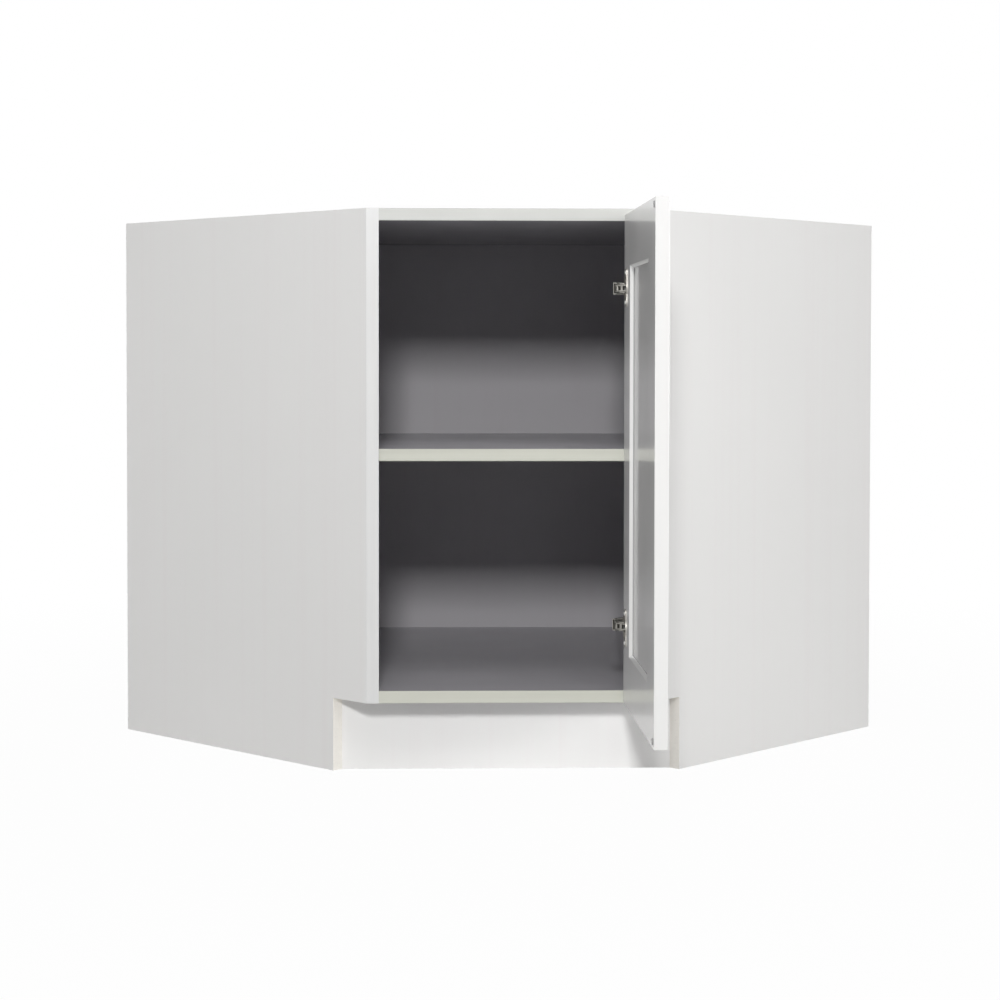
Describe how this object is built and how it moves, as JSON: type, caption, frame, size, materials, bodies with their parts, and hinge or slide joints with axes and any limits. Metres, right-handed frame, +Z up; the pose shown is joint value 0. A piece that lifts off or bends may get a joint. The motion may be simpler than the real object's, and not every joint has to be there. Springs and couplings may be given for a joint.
{
  "type": "diagonal corner base cabinet",
  "caption": "Diagonal corner base cabinet: white carcase with two 45 degree side faces, closed top, shelf, recessed toe kick and a framed door on concealed linkage hinges.",
  "frame": {"origin": "on the floor, at the middle of the foot of the toe-kick board", "axes": "+X to the right seen from the open front, +Y into the room corner, +Z up"},
  "size_m": [1.2932, 1.1786, 0.8763],
  "materials": {
    "white_board": "satin white melamine on particle board",
    "board_inside": "satin light grey melamine on particle board",
    "edge_band": "satin edge band",
    "bare_wood": "bare beech",
    "zinc_screw": "zinc plated",
    "pin_steel": "nickel plated",
    "door_lacquer": "satin white lacquer on wood",
    "clear_bumper": "soft clear pad",
    "nickel_steel": "bright nickel plate"
  },
  "bodies": {
    "carcase": {"right_side_panel": "white_board", "left_side_panel": "white_board", "right_wall_panel": "white_board", "left_wall_panel": "white_board", "back_panel": "white_board", "bottom_panel": "board_inside", "top_panel": "board_inside", "shelf": "board_inside", "shelf_pins": "pin_steel", "side_edge_bands": "edge_band", "bottom_edge_band": "edge_band", "top_edge_band": "edge_band", "shelf_edge_band": "edge_band", "toe_kick_board": "white_board", "toe_kick_blocks": "bare_wood", "case_dowels": "bare_wood", "back_screws": "zinc_screw", "upper_hinge_arm": "nickel_steel", "lower_hinge_arm": "nickel_steel", "upper_mounting_plate": "nickel_steel", "lower_mounting_plate": "nickel_steel", "hinge_arm_pins": "nickel_steel", "hinge_plate_screws": "zinc_screw", "hinge_arm_screws": "zinc_screw"},
    "long_links": {"upper_long_link": "nickel_steel", "lower_long_link": "nickel_steel", "long_link_pins": "nickel_steel"},
    "door": {"door_hinge_stile": "door_lacquer", "door_free_stile": "door_lacquer", "door_top_rail": "door_lacquer", "door_bottom_rail": "door_lacquer", "door_centre_panel": "door_lacquer", "door_bumpers": "clear_bumper", "upper_hinge_cup": "nickel_steel", "lower_hinge_cup": "nickel_steel", "hinge_cup_screws": "zinc_screw", "hinge_cup_pins": "nickel_steel"},
    "short_links": {"upper_short_link": "nickel_steel", "lower_short_link": "nickel_steel"}
  },
  "joints": [
    {"name": "long_link_swing", "type": "hinge", "parent": "carcase", "child": "long_links", "pos_m": [0.16709, -0.07006, 0], "axis": [0, 0, 1], "range_deg": [-5.67, 34.32]},
    {"name": "door_swing", "type": "hinge", "parent": "long_links", "child": "door", "pos_m": [0.18068, -0.09288, 0], "axis": [0, 0, 1], "range_deg": [-125.31, 20.66]},
    {"name": "short_link_swing", "type": "hinge", "parent": "carcase", "child": "short_links", "pos_m": [0.16733, -0.08701, 0], "axis": [0, 0, 1], "range_deg": [-8.72, 52.88]}
  ],
  "couplings": [
    {"joint": "long_link_swing", "follows": "door_swing", "ratio": -0.27378},
    {"joint": "short_link_swing", "follows": "door_swing", "ratio": -0.42193}
  ]
}
